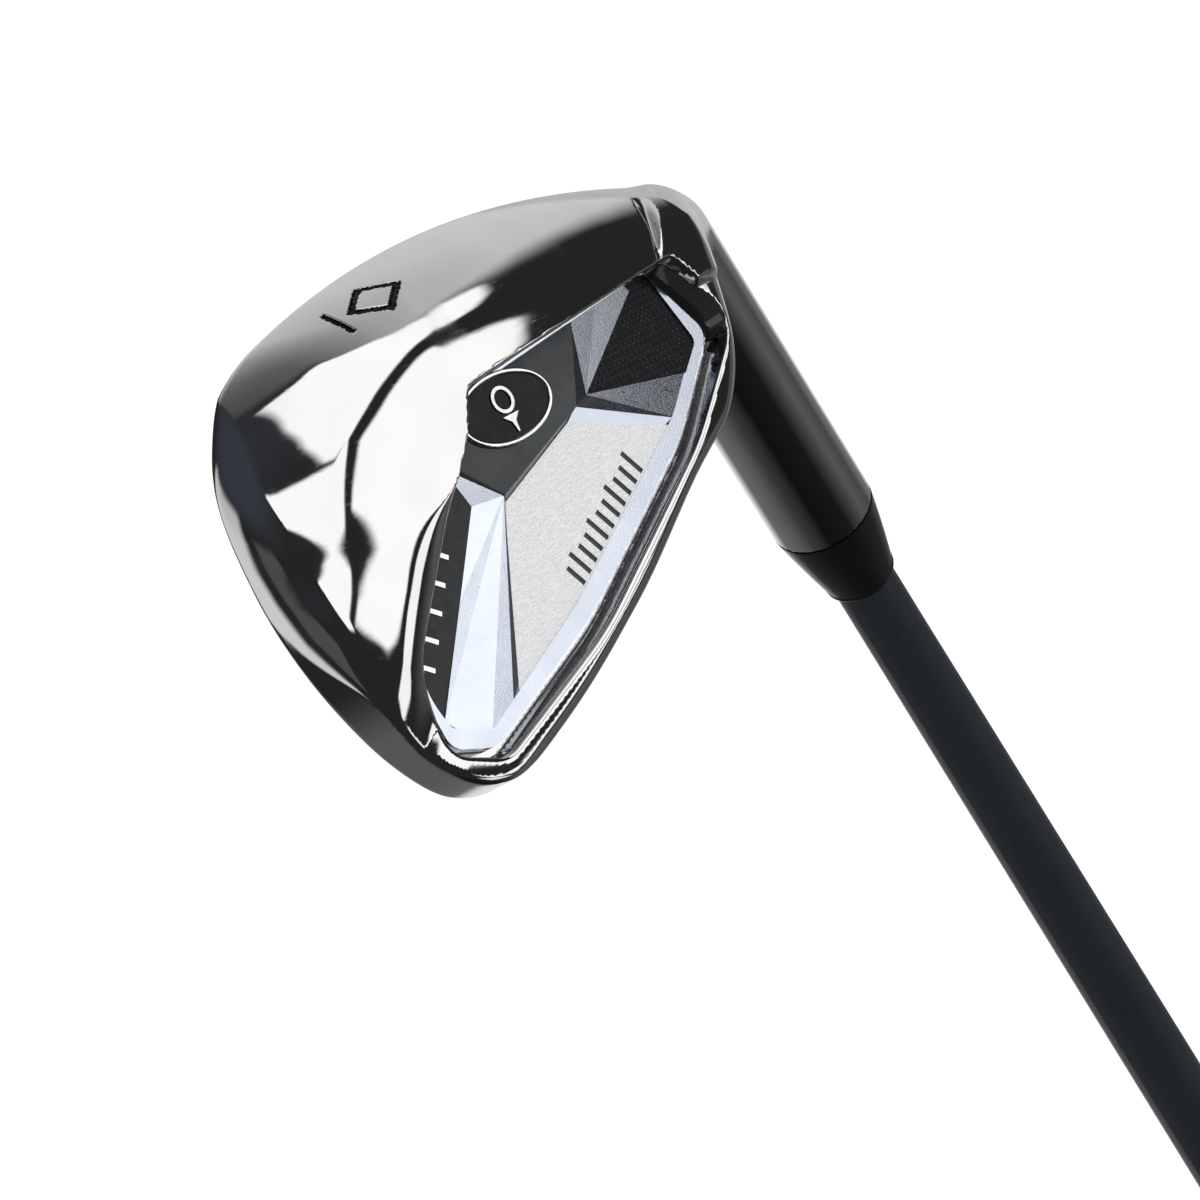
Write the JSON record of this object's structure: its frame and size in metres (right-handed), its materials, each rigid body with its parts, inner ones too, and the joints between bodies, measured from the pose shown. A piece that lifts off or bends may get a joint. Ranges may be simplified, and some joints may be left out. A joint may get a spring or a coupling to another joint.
{
  "type": "iron golf club",
  "caption": "Right-handed cavity-back iron golf club with a bored steel head, inlaid cavity badge, ferrule, tapered graphite shaft and rubber grip.",
  "frame": {"origin": "centre of the butt end of the grip, on the shaft axis", "axes": "+Z along the shaft axis from the butt up to the head, +X towards the toe, +Y towards the back of the head, so the face looks along -Y"},
  "size_m": [0.1052, 0.0503, 0.9844],
  "materials": {
    "black_nickel": "mirror-polished dark nickel over cast steel, sandblasted in the cavity",
    "badge_chrome": "bright bluish chrome",
    "grained_silver": "fine sandblasted grain with dark engraved marks",
    "charcoal": "satin charcoal",
    "black_insert": "gloss black with a fine weave",
    "dark_insert": "satin dark grey with white raised marks",
    "emblem_chrome": "bright polished",
    "enamel": "glossy black enamel",
    "foam_tape": "matt foam",
    "adhesive": "cured epoxy",
    "brass": "turned",
    "ferrule_black": "polished black",
    "shaft_paint": "satin black paint over carbon-fibre composite, with a slight navy sheen",
    "grip_tape": "matt",
    "grip_rubber": "matt black",
    "cap_rubber": "matt black, firmer than the grip"
  },
  "bodies": {
    "root": {"head_body": "black_nickel", "badge_tape": "foam_tape", "badge_base": "badge_chrome", "badge_plate": "grained_silver", "badge_bridge": "charcoal", "heel_insert": "black_insert", "toe_insert": "dark_insert", "emblem_ring": "emblem_chrome", "emblem_disc": "enamel", "emblem_mark": "emblem_chrome", "hosel_epoxy": "adhesive", "tip_weight": "brass", "ferrule": "ferrule_black", "shaft": "shaft_paint", "grip_tape": "grip_tape", "grip_sleeve": "grip_rubber", "grip_cap": "cap_rubber"}
  },
  "joints": []
}
